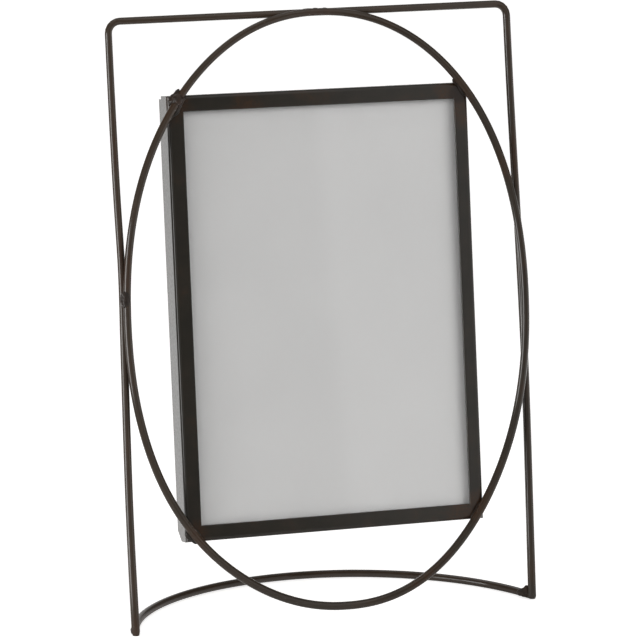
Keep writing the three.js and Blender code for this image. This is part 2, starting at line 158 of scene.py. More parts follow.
# Worn patina on the wires: at the middle, and its change per metre to the right and up
WIRE_WEAR = {"outer_hoop": 0.8, "oval_hoop": 0.62, "foot_arc": 1.2}
WEAR_FALL = 2.2
WEAR_RISE = 1.1

# Welds: lumps in millimetres, as centres and half sizes
WELD_VOXEL = 0.22 * MM
WELD_BROWN_REACH = 4 * MM
TOP_WELD_SIZES = (5.5 * MM, 1.3 * MM, 0.7 * MM)  # half length, half width, rise
SEAM_WELD_LIFT = 10 * MM  # over the middle of the oval
FOOT_WELD_BACK = 2.2 * MM  # behind the leg's middle
FOOT_WELD_LIFT = 0.3 * MM  # over the arc's middle
SEAM_WELDS = {  # outwards from the leg's middle, back, up from the weld's middle; half sizes likewise
    -1: (
        (0.4, -2.0, 0, 1.3, 1.2, 3.0), (-0.3, -4.3, 0.3, 1.6, 1.2, 3.2),
        (0.1, -3.4, -2.6, 1.2, 1.2, 1.2), (0, -3.6, 2.6, 1.2, 1.2, 1.1),
    ),
    1: ((0.9, -1.6, 0, 0.9, 1.0, 3.0), (1.0, -1.5, -1.8, 0.8, 0.9, 1.8), (1.0, -1.6, 2.0, 0.8, 0.9, 1.6)),
}
FOOT_WELDS = {  # to the right, back and up from the joint; half sizes likewise
    -1: ((0, 0, 0, 1.75, 1.5, 1.6), (0.5, 1.1, 0, 1.3, 1.6, 1.4), (-0.9, -1.6, -0.1, 1.15, 1.1, 1.6)),
    1: (
        (-1.5, 0.6, 1.3, 1.5, 1.3, 2.8), (0, 0, 0.3, 1.75, 1.5, 1.6),
        (-2.8, 0.9, 0.9, 1.8, 1.3, 2.1), (-4.2, 1.2, 0.9, 1.6, 1.3, 1.6),
    ),
}
# Corner: side, rise, roughness and browning, then lumps along the oval clockwise, outwards and back from the
# crossing, with half sizes along, back and outwards
CORNER_WELDS = {
    "top_left": (-1, 1, 0.22, 1.0, (
        (1.0, 0.1, -1.7, 3.0, 2.5, 2.7), (-0.5, 1.9, -0.4, 1.9, 1.8, 1.3), (3.0, -1.9, -0.4, 1.9, 1.4, 1.2),
        (3.0, 2.0, -1.0, 2.4, 1.4, 1.0), (1.2, 2.4, -0.6, 1.4, 1.4, 1.1), (-0.8, -2.2, -0.2, 2.0, 1.0, 1.1),
        (-3.0, -2.3, -0.1, 2.6, 0.9, 1.5), (-6.0, -1.9, -0.1, 2.2, 0.8, 0.8),
    )),
    "top_right": (1, 1, 0.1, 0.5, (
        (-3.7, -1.4, 0.1, 1.6, 0.8, 1.0), (0, -1.3, 0, 2.4, 0.7, 0.7), (2.0, -1.4, -0.2, 2.2, 0.9, 1.0),
        (0.2, 1.2, 0.5, 2.4, 0.9, 0.7),
    )),
    "bottom_left": (-1, -1, 0.06, 0.2, (
        (1.5, 1.7, -0.2, 2.6, 1.3, 1.7), (-1.0, 1.4, -0.2, 2.4, 1.3, 1.2), (3.2, 1.3, 0, 1.6, 1.0, 0.8),
        (0.1, -1.6, 0.2, 3.0, 0.6, 1.2),
    )),
    "bottom_right": (1, -1, 0.1, 0.5, (
        (-3.0, -1.3, 0.1, 2.0, 0.6, 0.7), (0.5, -1.3, 0.1, 2.6, 0.6, 0.7), (-0.3, 1.6, 0.4, 1.8, 1.0, 1.2),
    )),
}

# Turn clips and rivets
CLIP_WIDTH = 9 * MM
CLIP_THICKNESS = 1 * MM
CLIP_REACH = 9 * MM  # pivot to tip
CLIP_TAIL = 9 * MM  # pivot to the bend of the thumb lip
CLIP_LIP = 3.6 * MM
CLIP_LIP_DEGREES = 47
CLIP_LIP_CORNER = 2 * MM
CLIP_BEND_STEP = 0.35 * MM
RIVET_FOOT_RADIUS = 2.4 * MM
RIVET_FOOT_HEIGHT = 0.5 * MM
RIVET_SHANK_RADIUS = 1.5 * MM
RIVET_HEAD_RADIUS = 3.2 * MM
RIVET_HEAD_HEIGHT = 1.2 * MM
RIVET_RIM = 0.25 * MM
ROUND_SIDES = 40
SLOT_LENGTH = 8.85 * MM
SLOT_DEPTH = 1.5 * MM
THUMB_NOTCH_RADIUS = 8 * MM
SEAT_GAP = 0.25 * MM

# The photograph's camera, found by fitting the model's edges to it
CAMERA_LEFT_DEGREES = 20.06
CAMERA_RISE_DEGREES = 10.418
CAMERA_DISTANCE = 1.8508
CAMERA_LENS_MM = 248.23
CAMERA_TARGET = Vector((-0.00889, -0.033637, 0.12904))

# Floor and studio light
FLOOR_CORNERS = ((-0.2, -0.1), (-0.05, -0.2), (3, -0.2), (3, 3), (-1.6, 3))
FLOOR_GLOW = 0.74
FLOOR_MIRROR_FADE = (-0.03, 0.12)  # from the front to the back, where mirrored rays start to see the glow
FLOOR_MIRRORED = 1.35  # share of the glow that mirrored rays see behind that
STUDIO_DIM = 0.06
STUDIO_CEILING = ((40, 60), 0.35)  # soft start in degrees up, and light level
STUDIO_BANDS = (  # soft start, end and top, in degrees to the right of straight ahead and up, and light level
    ((-182, -181), (-160, -150), (80, 90), 1.0),  # backdrop, left end
    ((-45, -35), (-5, 5), (80, 90), 0.3),  # the room behind the camera
    ((19.78, 20.06), (50, 60), (80, 90), 0.55),  # white card from the camera to the right
    ((50, 60), (100, 110), (-2, 8), 1.05),  # its brighter end, lower
    ((105, 125), (135, 150), (2, 14), 0.45),  # backdrop, right end
    ((135, 150), (181, 182), (25, 45), 0.5),  # backdrop, right behind the frame
)
LAMPS = (  # name, place, width and height, power, and whether mirrored rays see it
    ("left_softbox", (-1.38, -0.29, 0.15), (0.85, 0.7), 10.5, True),
    ("left_key", (-1.1, -1.15, 0.85), (1.0, 1.0), 5.4, False),
    ("right_key", (1.13, -1.1, 0.77), (1.1, 0.75), 9.2, False),
)


# Node helpers

def add_node(tree, kind, **inputs):
    """A node of a kind, with the values or links of its inputs by name."""
    node = tree.nodes.new(kind)
    for name, value in inputs.items():
        set_input(tree, node.inputs[name.replace("_", " ")], value)
    return node


def set_input(tree, socket, value):
    if isinstance(value, bpy.types.NodeSocket):
        tree.links.new(value, socket)
    else:
        socket.default_value = value


def math_node(tree, operation, first, second=0.0):
    node = tree.nodes.new("ShaderNodeMath")
    node.operation = operation
    set_input(tree, node.inputs[0], first)
    set_input(tree, node.inputs[1], second)
    return node.outputs[0]


def ranged(tree, value, from_low, from_high, to_low, to_high):
    """The value, taken smoothly from one range to another and held at its ends."""
    node = tree.nodes.new("ShaderNodeMapRange")
    node.interpolation_type = "SMOOTHSTEP"
    for socket, number in zip(node.inputs, (value, from_low, from_high, to_low, to_high)):
        set_input(tree, socket, number)
    return node.outputs[0]


def place_socket(tree):
    """Where a point lies in the model, in metres."""
    return tree.nodes.new("ShaderNodeTexCoord").outputs["Object"]


def mesh_value(tree, name):
    """A number that the mesh carries at each of its points."""
    node = tree.nodes.new("ShaderNodeAttribute")
    node.attribute_name = name
    return node.outputs["Fac"]


def grain(tree, place, size, detail=4.0, rough=0.55, stretch=(1, 1, 1)):
    """Noise from 0 to 1 with features of a size in metres, longer along an axis where stretch is over 1."""
    scaled = add_node(tree, "ShaderNodeVectorMath")
    scaled.operation = "DIVIDE"
    set_input(tree, scaled.inputs[0], place)
    scaled.inputs[1].default_value = [size * factor for factor in stretch]
    texture = add_node(tree, "ShaderNodeTexNoise", Scale=1.0, Detail=detail, Roughness=rough)
    set_input(tree, texture.inputs["Vector"], scaled.outputs[0])
    return texture.outputs["Fac"]


def ramp(tree, value, *stops):
    """A colour from a value, by stops of (position, linear colour)."""
    node = tree.nodes.new("ShaderNodeValToRGB")
    set_input(tree, node.inputs["Fac"], value)
    elements = node.color_ramp.elements
    while len(elements) < len(stops):
        elements.new(0.5)
    for element, (position, color) in zip(elements, stops):
        element.position = position
        element.color = (*color, 1)
    return node.outputs["Color"]


def mixed(tree, share, first, second):
    node = tree.nodes.new("ShaderNodeMix")
    node.data_type = "RGBA"
    set_input(tree, node.inputs["Factor"], share)
    set_input(tree, node.inputs["A"], first)
    set_input(tree, node.inputs["B"], second)
    return node.outputs["Result"]


def bump(tree, height, distance):
    return add_node(tree, "ShaderNodeBump", Height=height, Distance=distance).outputs["Normal"]


def new_material(name):
    material = bpy.data.materials.new(name)
    material.use_nodes = True
    tree = material.node_tree
    return material, tree, tree.nodes["Principled BSDF"]


# Materials

def iron_material():
    """Dark brown-black patina with a waxed sheen: soft blotches, rusty where heat has caught it, and near-black
    where shade is painted into the gaps beside the oval at the right corners.
    """
    material, tree, shader = new_material("antique_iron")
    place = place_socket(tree)
    blotch = grain(tree, place, 14 * MM)
    speck = grain(tree, place, 1.1 * MM, detail=6)
    browning = mesh_value(tree, "browning")
    waxed = ramp(tree, blotch, (0.3, (0.016, 0.0136, 0.01)), (0.7, (0.025, 0.0198, 0.0142)))
    paler = ramp(tree, blotch, (0.3, (0.04, 0.0268, 0.0172)), (0.7, (0.056, 0.0372, 0.0242)))
    patina = mixed(tree, mesh_value(tree, "rubbed"), waxed, paler)
    rust_share = ranged(tree, math_node(tree, "ADD", blotch, browning), 0.54, 0.9, 0.0, 0.85)
    rust = math_node(tree, "MULTIPLY", rust_share, ranged(tree, speck, 0.35, 0.65, 0.4, 1.0))
    rusted = mixed(tree, rust, patina, (0.045, 0.02, 0.008, 1))
    # Painted shade: browning over 0.5 darkens the patina to near-black, standing in for the shaded gap beside the
    # oval at the right corners.
    burnt_and_gap_shade_share = ranged(tree, browning, 0.5, 0.85, 0.0, 0.9)
    burnt_and_gap_shaded = mixed(tree, burnt_and_gap_shade_share, rusted, (0.014, 0.0058, 0.0018, 1))
    set_input(tree, shader.inputs["Base Color"], burnt_and_gap_shaded)
    set_input(tree, shader.inputs["Roughness"], ranged(tree, speck, 0.25, 0.75, 0.34, 0.5))
    shader.inputs["Specular IOR Level"].default_value = 0.2
    shader.inputs["Coat Weight"].default_value = 0.8
    shader.inputs["Coat Roughness"].default_value = 0.1
    set_input(tree, shader.inputs["Normal"], bump(tree, speck, 0.03 * MM))
    return material


def weld_material():
    """Weld metal under the same patina: browner, with burnished high spots."""
    material, tree, shader = new_material("weld_metal")
    place = place_socket(tree)
    lump = grain(tree, place, 2.2 * MM, detail=3)
    speck = grain(tree, place, 0.5 * MM, detail=5)
    dark = ramp(tree, lump, (0.3, (0.015, 0.0125, 0.0095)), (0.7, (0.024, 0.019, 0.0145)))
    stops = (0.3, (0.022, 0.013, 0.009)), (0.55, (0.046, 0.026, 0.018)), (0.75, (0.075, 0.045, 0.034))
    brown = ramp(tree, lump, *stops)
    set_input(tree, shader.inputs["Base Color"], mixed(tree, mesh_value(tree, "browning"), dark, brown))
    set_input(tree, shader.inputs["Roughness"], ranged(tree, speck, 0.3, 0.7, 0.25, 0.55))
    shader.inputs["Specular IOR Level"].default_value = 0.3
    shader.inputs["Coat Weight"].default_value = 0.25
    shader.inputs["Coat Roughness"].default_value = 0.3
    set_input(tree, shader.inputs["Normal"], bump(tree, speck, 0.06 * MM))
    return material


def glass_material():
    """Clear float glass that lets the lamps through to the card."""
    material, tree, shader = new_material("clear_glass")
    shader.inputs["Base Color"].default_value = (0.985, 0.992, 0.988, 1)
    shader.inputs["Roughness"].default_value = 0.0
    shader.inputs["IOR"].default_value = 1.5
    shader.inputs["Transmission Weight"].default_value = 1.0
    clear = tree.nodes.new("ShaderNodeBsdfTransparent")
    path = tree.nodes.new("ShaderNodeLightPath")
    mix = tree.nodes.new("ShaderNodeMixShader")
    output = tree.nodes["Material Output"]
    set_input(tree, mix.inputs[0], path.outputs["Is Shadow Ray"])
    set_input(tree, mix.inputs[1], shader.outputs[0])
    set_input(tree, mix.inputs[2], clear.outputs[0])
    set_input(tree, output.inputs["Surface"], mix.outputs[0])
    return material


def card_material():
    """Blank pale grey card: fine paper fibre and a faint cloudiness."""
    material, tree, shader = new_material("blank_card")
    place = place_socket(tree)
    fibre = grain(tree, place, 0.5 * MM, detail=6, rough=0.7)
    cloud = grain(tree, place, 40 * MM, detail=2)
    fine = math_node(tree, "MULTIPLY", fibre, 0.35)
    tone = math_node(tree, "ADD", fine, math_node(tree, "MULTIPLY", cloud, 0.65))
    paper = ramp(tree, tone, (0.25, (0.476, 0.468, 0.467)), (0.75, (0.512, 0.503, 0.502)))
    set_input(tree, shader.inputs["Base Color"], paper)
    shader.inputs["Roughness"].default_value = 0.85
    shader.inputs["Specular IOR Level"].default_value = 0.2
    set_input(tree, shader.inputs["Normal"], bump(tree, fibre, 0.01 * MM))
    return material


def board_material():
    """Brown hardboard: pressed wood fibre with pale flecks and a faintly polished face."""
    material, tree, shader = new_material("hardboard")
    place = place_socket(tree)
    fibre = grain(tree, place, 0.9 * MM, detail=8, rough=0.75, stretch=(3, 1, 1))
    cloud = grain(tree, place, 22 * MM, detail=3)
    chip = grain(tree, place, 2.4 * MM, detail=5, rough=0.8, stretch=(1, 1, 2.5))
    fleck = ranged(tree, chip, 0.6, 0.72, 0.0, 1.0)
    stops = (0.3, (0.075, 0.043, 0.023)), (0.5, (0.118, 0.07, 0.038)), (0.72, (0.165, 0.104, 0.06))
    brown = ramp(tree, fibre, *stops)
    shaded = mixed(tree, ranged(tree, cloud, 0.35, 0.7, 0.0, 0.35), brown, (0.08, 0.048, 0.027, 1))
    set_input(tree, shader.inputs["Base Color"], mixed(tree, fleck, shaded, (0.2, 0.135, 0.082, 1)))
    set_input(tree, shader.inputs["Roughness"], ranged(tree, fibre, 0.3, 0.7, 0.55, 0.8))
    set_input(tree, shader.inputs["Normal"], bump(tree, fibre, 0.05 * MM))
    return material


def steel_material():
    """Dull plated steel: fine rolling lines, cloudy plating and darker scuffs."""
    material, tree, shader = new_material("plated_steel")
    place = place_socket(tree)
    line = grain(tree, place, 0.18 * MM, detail=3, stretch=(14, 1, 1))
    cloud = grain(tree, place, 5 * MM, detail=4)
    plated = ramp(tree, cloud, (0.3, (0.23, 0.222, 0.208)), (0.7, (0.33, 0.322, 0.305)))
    scuff = ranged(tree, grain(tree, place, 1.6 * MM, detail=6, rough=0.7), 0.6, 0.75, 0.0, 0.5)
    set_input(tree, shader.inputs["Base Color"], mixed(tree, scuff, plated, (0.14, 0.128, 0.112, 1)))
    set_input(tree, shader.inputs["Roughness"], ranged(tree, cloud, 0.3, 0.7, 0.3, 0.44))
    shader.inputs["Metallic"].default_value = 1.0
    set_input(tree, shader.inputs["Normal"], bump(tree, line, 0.012 * MM))
    return material


MATERIALS = {
    "antique_iron": iron_material(),
    "weld_metal": weld_material(),
    "clear_glass": glass_material(),
    "blank_card": card_material(),
    "hardboard": board_material(),
    "plated_steel": steel_material(),
}


# Mesh helpers

def wobble(point, size, seed):
    """Smooth noise from -1 to 1 with features of a size in metres."""
    return noise.noise(point / size + Vector((seed, 2.3 * seed, 5.1 * seed)))


def mesh_of(bm, name):
    """The mesh of a bmesh, with its faces pointing out."""
    bmesh.ops.recalc_face_normals(bm, faces=bm.faces)
    mesh = bpy.data.meshes.new(name)
    bm.to_mesh(mesh)
    bm.free()
    return mesh


def evaluated_mesh(obj):
    """The mesh of an object with its modifiers applied. The object itself is removed."""
    graph = bpy.context.evaluated_depsgraph_get()
    graph.update()
    mesh = bpy.data.meshes.new_from_object(obj.evaluated_get(graph))
    bpy.data.objects.remove(obj)
    return mesh


def scratch_object(mesh):
    obj = bpy.data.objects.new("scratch", mesh)
    bpy.context.scene.collection.objects.link(obj)
    return obj


def carved(mesh, cutters):
    """The mesh with each cutter mesh cut away."""
    obj = scratch_object(mesh)
    tools = [scratch_object(cutter) for cutter in cutters]
    for tool in tools:
        modifier = obj.modifiers.new("cut", "BOOLEAN")
        modifier.operation = "DIFFERENCE"
        modifier.solver = "EXACT"
        modifier.object = tool
    result = evaluated_mesh(obj)
    for tool in tools:
        bpy.data.objects.remove(tool)
    return result


def bridge_rings(bm, rings, closed):
    """Quads between neighbouring rings of vertices, and flat ends where the run isn't closed."""
    pairs = list(zip(rings, rings[1:]))
    if closed:
        pairs.append((rings[-1], rings[0]))
    for first, second in pairs:
        for index in range(len(first)):
            after = (index + 1) % len(first)
            bm.faces.new((first[index], first[after], second[after], second[index]))
    if not closed:
        bm.faces.new(rings[0])
        bm.faces.new(rings[-1])


def add_piece(name, mesh, slot, node, body="frame", sharp_degrees=35):
    """Shows a mesh in place of a CAD node, on its body and in its material slot."""
    mesh.name = name
    mesh.shade_smooth()
    mesh.set_sharp_from_angle(angle=math.radians(sharp_degrees))
    mesh.materials.clear()
    mesh.materials.append(MATERIALS[slot])
    piece = bpy.data.objects.new(name, mesh)
    bpy.context.scene.collection.objects.link(piece)
    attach(piece, body)
    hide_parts(node)


# Wire stand

def leg_reach(up):
    """Middle plane to the centre line of a true leg, at a height up the slope."""
    return LEG_X + (TOP_X - LEG_X) * up / HOOP_TOP


def leg_shift(side, up):
    """How far a leg strays to the right at a height up the slope."""
    climb = up / HOOP_TOP
    low = LEG_DRIFTS_LOW[side]
    bow = sum(height * math.sin(math.pi * count * climb) for count, height in enumerate(LEG_BOWS[side], 1))
    middle, reach, pull = SEAM_PULL
    pulled = pull * math.exp(-((up - middle) / reach) ** 2) if side < 0 else 0.0
    return low + (LEG_DRIFT_HIGH - low) * climb + bow * MM + pulled


def squareness():
    """The superellipse exponent that takes the oval through the crossing; 2 is an ellipse."""
    low, high = 1.0, 20.0
    for _ in range(50):
        power = (low + high) / 2
        total = (CROSSING.x / OVAL_HALF_WIDTH) ** power + (CROSSING.y / OVAL_HALF_HEIGHT) ** power
        if total > 1:
            low = power
        else:
            high = power
    return low


OVAL_SQUARENESS = squareness()


def oval_place(angle):
    """Across and up of the oval's centre line with its strays, clockwise from the top."""
    def bent(value):
        return math.copysign(abs(value) ** (2 / OVAL_SQUARENESS), value)
    waves = (height * math.cos(times * angle - math.radians(turn)) for times, height, turn in OVAL_WAVES)
    wave = MM * sum(waves)
    across = (OVAL_HALF_WIDTH + wave) * bent(math.sin(angle))
    up = (OVAL_HALF_HEIGHT + wave) * bent(math.cos(angle))
    drift = OVAL_DRIFT + OVAL_BEND * (up / OVAL_HALF_HEIGHT) ** 2
    return Vector((across + drift, MIDDLE + OVAL_LIFT + up))


def oval_crossing(side, rise):
    """Where the oval passes nearest to a corner of the box, and its direction outwards there."""
    corner = Vector((side * BOX_HALF_WIDTH, MIDDLE + rise * BOX_HALF_HEIGHT))
    angles = [2 * math.pi * step / 3600 for step in range(3600)]
    angle = min(angles, key=lambda turn: (oval_place(turn) - corner).length)
    along = oval_place(angle + 0.01) - oval_place(angle - 0.01)
    return oval_place(angle), Vector((-along.y, along.x)).normalized()


def even_points(points, step, closed=False):
    """The same line with points at an even step along it."""
    if closed:
        points = points + points[:1]
    lengths = [0.0]
    for first, second in zip(points, points[1:]):
        lengths.append(lengths[-1] + (second - first).length)
    count = round(lengths[-1] / step)
    even = []
    index = 0
    for number in range(count if closed else count + 1):
        goal = lengths[-1] * number / count
        while index < len(points) - 2 and lengths[index + 1] < goal:
            index += 1
        share = (goal - lengths[index]) / (lengths[index + 1] - lengths[index])
        even.append(points[index].lerp(points[index + 1], share))
    return even


def hoop_points():
    """Centre line up the left leg, over the top and down the right leg."""
    places = [(-LEG_X, 0.0)]
    for side in (-1, 1):
        centre_across = side * (TOP_X - HOOP_BEND_RADIUS)
        for step in range(13):
            turn = math.radians(90 * step / 12)
            angle = math.pi - turn if side < 0 else math.pi / 2 - turn
            across = centre_across + HOOP_BEND_RADIUS * math.cos(angle)
            up = HOOP_TOP - HOOP_BEND_RADIUS + HOOP_BEND_RADIUS * math.sin(angle)
            places.append((across, up))
    places.append((LEG_X, 0.0))
    points = []
    for place in even_points([Vector(place).to_3d() for place in places], WIRE_STEP):
        side = -1 if place.x < 0 else 1
        to_right = (place.x / TOP_X + 1) / 2
        lift = BAR_LIFTS[0] + (BAR_LIFTS[1] - BAR_LIFTS[0]) * to_right
        points.append(at(place.x + leg_shift(side, place.y), 0, place.y + lift * place.y / HOOP_TOP))
    return points


def oval_points():
    places = [oval_place(2 * math.pi * step / 720).to_3d() for step in range(720)]
    points = []
    for place in even_points(places, WIRE_STEP, closed=True):
        swell = WIRE_RADIUS * (wire_share(place.x, place.y) - 1)
        points.append(at(place.x, OVAL_DEPTH + swell, place.y))
    return points


def arc_points():
    """A circular arc on the floor from leg to leg, through the back of the stand."""
    start_y = FOOT_LINE.y + WIRE_RADIUS * UP.y / UP.z
    back_y = ARC_BACK_Y - WIRE_RADIUS * (ARC_SHARE - 1)
    depth = back_y - start_y
    radius = (LEG_X ** 2 + depth ** 2) / (2 * depth)
    centre_y = back_y - radius
    half_angle = math.atan2(LEG_X, start_y - centre_y)
    points = []
    for step in range(181):
        angle = half_angle * (step / 90 - 1)
        across = radius * math.sin(angle)
        shift = LEG_DRIFTS_LOW[-1 if across < 0 else 1] * abs(across) / LEG_X
        stray = sum(height * (across / LEG_X) ** power for power, height in enumerate(ARC_STRAYS))
        back = centre_y + radius * math.cos(angle) + stray * MM
        points.append(Vector((across + shift, back, WIRE_RADIUS * ARC_SHARE)))
    return even_points(points, WIRE_STEP)


def wire_share(across, height):
    """The wire is a little thicker near the floor than at the top, and there thinner on the left."""
    low, left, right = WIRE_SHARES
    high = left + (right - left) * (across / LEG_X + 1) / 2
    return low + (high - low) * height / HOOP_TOP


def wire_mesh(name, points, flat_normal, closed, seed, share=None):
    """A round wire along a flat line, with the shallow dents of hand work."""
    bm = bmesh.new()
    rings = []
    count = len(points)
    for index, point in enumerate(points):
        before = points[index - 1] if closed or index else point
        after = points[(index + 1) % count] if closed or index < count - 1 else point
        side = (after - before).normalized().cross(flat_normal)
        radius = WIRE_RADIUS * (share or wire_share(point.x, point.z))
        ring = []
        for number in range(WIRE_SIDES):
            angle = 2 * math.pi * number / WIRE_SIDES
            spoke = side * math.cos(angle) + flat_normal * math.sin(angle)
            surface = point + spoke * radius
            dent = 0.5 + 0.35 * wobble(surface, 9 * MM, seed) + 0.15 * wobble(surface, 2.5 * MM, seed)
            ring.append(bm.verts.new(point + spoke * radius * (1 - WIRE_DENTS * dent)))
        rings.append(ring)
    bridge_rings(bm, rings, closed)
    return mesh_of(bm, name)


def cut_level(mesh):
    """Ends the legs level at the floor, with the edge of the cut worn round."""
    worn = 0.5 * MM
    for vertex in mesh.vertices:
        place = in_plane(vertex.co)
        if place.z < worn:
            side = -1 if place.x < 0 else 1
            axis = at(side * LEG_X + LEG_DRIFTS_LOW[side], 0, place.z)
            vertex.co = axis + (vertex.co - axis) * 0.8
            end = RIGHT_FOOT_LIFT if side > 0 else 0.0
            vertex.co += UP * ((end - vertex.co.z) / UP.z)
    return mesh


def brown_and_gap_shade_marks():
    """The marks of browned patina and of painted gap shade as (centre, reach, strength)."""
    marks = []
    for *place, reach, strength in BROWN_AND_GAP_SHADE_MARKS:
        marks.append((at(*(part * MM for part in place)), reach * MM, strength))
    return marks


def mark_browning(mesh, marks):
    """Notes on a mesh how far its patina is browned by marks of (centre, reach, strength); the strongest marks on
    the wires and rails are painted shade.
    """
    layer = mesh.attributes.new("browning", "FLOAT", "POINT")
    for vertex, item in zip(mesh.vertices, layer.data):
        shares = (((vertex.co - centre).length / reach, strength) for centre, reach, strength in marks)
        item.value = max(strength * math.exp(-share ** 2) for share, strength in shares)


def mark_wear(mesh, wear):
    """Notes on a wire how far handling has worn it paler and browner than the box: more at the upper left."""
    layer = mesh.attributes.new("rubbed", "FLOAT", "POINT")
    for vertex, item in zip(mesh.vertices, layer.data):
        item.value = wear - WEAR_FALL * vertex.co.x + WEAR_RISE * (vertex.co.z - MIDDLE)


# Welds

def blob(lobes, seed, roughness):
    """One fused lump from ball-like lobes of (centre, turn about the plane's normal, half sizes)."""
    bm = bmesh.new()
    plane = Matrix((ACROSS, BACK, UP)).transposed()
    for centre, turn, sizes in lobes:
        ball = bmesh.ops.create_icosphere(bm, subdivisions=3, radius=1)["verts"]
        shape = plane @ Matrix.Rotation(turn, 3, "Y") @ Matrix.Diagonal(sizes)
        for vertex in ball:
            vertex.co = centre + shape @ vertex.co
    obj = scratch_object(mesh_of(bm, "lobes"))
    fuse = obj.modifiers.new("fuse", "REMESH")
    fuse.mode = "VOXEL"
    fuse.voxel_size = WELD_VOXEL
    ease = obj.modifiers.new("ease", "SMOOTH")
    ease.factor = 0.5
    ease.iterations = 4
    mesh = evaluated_mesh(obj)
    moves = []
    for vertex in mesh.vertices:
        lump = 0.65 * wobble(vertex.co, 1.4 * MM, seed) + 0.35 * wobble(vertex.co, 0.6 * MM, seed)
        moves.append(vertex.normal * roughness * lump)
    for vertex, move in zip(mesh.vertices, moves):
        vertex.co += move
    return mesh


def add_weld(node, lobes, seed, roughness=0.25, browning=0.5):
    mesh = blob(lobes, seed, roughness * MM)
    mark_browning(mesh, [(lobes[0][0], WELD_BROWN_REACH, browning)])
    add_piece(f"{node}_bead", mesh, "weld_metal", node, sharp_degrees=180)


def top_lobes():
    """A row of overlapping lumps along the groove between the oval and the top bar."""
    half_length, half_width, rise = TOP_WELD_SIZES
    lobes = []
    count = 5
    for number in range(count):
        shift = (number / (count - 1) - 0.5) * 2 * half_length * 0.72
        swell = 1 - 0.35 * abs(number / (count - 1) - 0.5) - 0.12 * (number % 2)
        sizes = (half_length * 0.34, half_width * swell, rise * swell)
        lobes.append((at(shift, OVAL_DEPTH / 2, HOOP_TOP + WIRE_RADIUS), 0, sizes))
    return lobes


def side_lobes(side):
    """Lumps where the oval touches a leg."""
    up = MIDDLE + SEAM_WELD_LIFT
    leg = side * leg_reach(up) + leg_shift(side, up)
    lobes = []
    for out, back, rise, *sizes in SEAM_WELDS[side]:
        centre = at(leg + side * out * MM, back * MM, up + rise * MM)
        lobes.append((centre, 0, [size * MM for size in sizes]))
    return lobes


def foot_lobes(side):
    """Lumps where the arc meets the back of a leg."""
    leg = side * LEG_X + LEG_DRIFTS_LOW[side]
    joint = Vector((leg, FOOT_LINE.y + FOOT_WELD_BACK, WIRE_RADIUS + FOOT_WELD_LIFT))
    lobes = []
    for across, back, up, *sizes in FOOT_WELDS[side]:
        lobes.append((joint + Vector((across, back, up)) * MM, 0, [size * MM for size in sizes]))
    return lobes


def corner_lobes(side, rise, places):
    """Lumps where the oval crosses a corner of the box, back from the bezel face."""
    crossing, outward = oval_crossing(side, rise)
    along = Vector((outward.y, -outward.x))
    turn = math.atan2(outward.x, outward.y)
    lobes = []
    for run, out, back, *sizes in places:
        spot = crossing + along * run * MM + outward * out * MM
        lobes.append((at(spot.x, BEZEL_FACE + back * MM, spot.y), turn, [size * MM for size in sizes]))
    return lobes


# Picture box

def rail_section(width):
    """The folded angle: inwards from the outside of the wall, and backwards from the bezel face."""
    fold, sheet, edge = FOLD_RADIUS, SHEET_THICKNESS, EDGE_ROUND
    inside = fold - sheet
    points = []

    def arc(centre_in, centre_back, radius, start, end, steps):
        centre = Vector((centre_in, centre_back))
        for step in range(-1, steps + 2):
            angle = math.radians(start + (end - start) * min(max(step, 0), steps) / steps)
            spoke = Vector((math.cos(angle), math.sin(angle)))
            past_end = (step > steps) - (step < 0)
            ahead = Vector((-spoke.y, spoke.x)) * math.copysign(past_end, past_end * (end - start))
            points.append(centre + spoke * radius + ahead * FLAT_SUPPORT)

    arc(width - edge, edge, edge, -90, 0, 3)
    arc(width - edge, sheet - edge, edge, 0, 90, 3)
    arc(fold, fold, inside, -90, -180, FOLD_STEPS)
    arc(sheet - edge, BOX_DEPTH - edge, edge, 0, 90, 3)
    arc(edge, BOX_DEPTH - edge, edge, 90, 180, 3)
    arc(fold, fold, fold, 180, 270, FOLD_STEPS)
    for step in range(1, 5):
        points.append(Vector((fold + (width - edge - fold) * step / 5, 0)))
    return points


def rail_mesh(name, half_length, half_span, turn, width, end_widths, seed):
    """A rail of the box, mitred to its neighbours' widths, turned in the plane from the left wall."""
    section = rail_section(width)
    cosine, sine = math.cos(turn), math.sin(turn)
    bm = bmesh.new()
    rings = []
    for step in range(RAIL_STEPS + 1):
        share = 2 * step / RAIL_STEPS - 1
        ring = []
        for inwards, backwards in section:
            across = inwards - half_span
            setback = inwards * end_widths[step > RAIL_STEPS / 2] / width
            up = share * (half_length - setback)
            turned_across, turned_up = across * cosine + up * sine, up * cosine - across * sine
            point = at(turned_across, BEZEL_FACE + backwards, MIDDLE + turned_up)
            wave = SHEET_WAVE * wobble(point, 35 * MM, seed) * (1 - abs(share) ** 6)
            ring.append(bm.verts.new(point + BACK * wave))
        rings.append(ring)
    bridge_rings(bm, rings, closed=False)
    return mesh_of(bm, name)


def block(low, high, front_drop=0.0):
    """A cutter between two places in the leaning plane, with its top lower at the front by a drop."""
    bm = bmesh.new()
    bmesh.ops.create_cube(bm, size=1)
    for vertex in bm.verts:
        place = [low[axis] if vertex.co[axis] < 0 else high[axis] for axis in range(3)]
        if vertex.co.y < 0 < vertex.co.z:
            place[2] -= front_drop
        vertex.co = at(*place)
    return mesh_of(bm, "cutter")


def drill(centre, radius, length):
    """A round cutter along the plane's normal."""
    bm = bmesh.new()
    bmesh.ops.create_cone(
        bm, segments=ROUND_SIDES, radius1=radius, radius2=radius, depth=length, cap_ends=True
    )
    turn = BACK.to_track_quat("Z", "Y").to_matrix()
    for vertex in bm.verts:
        vertex.co = centre + turn @ vertex.co
    return mesh_of(bm, "drill")


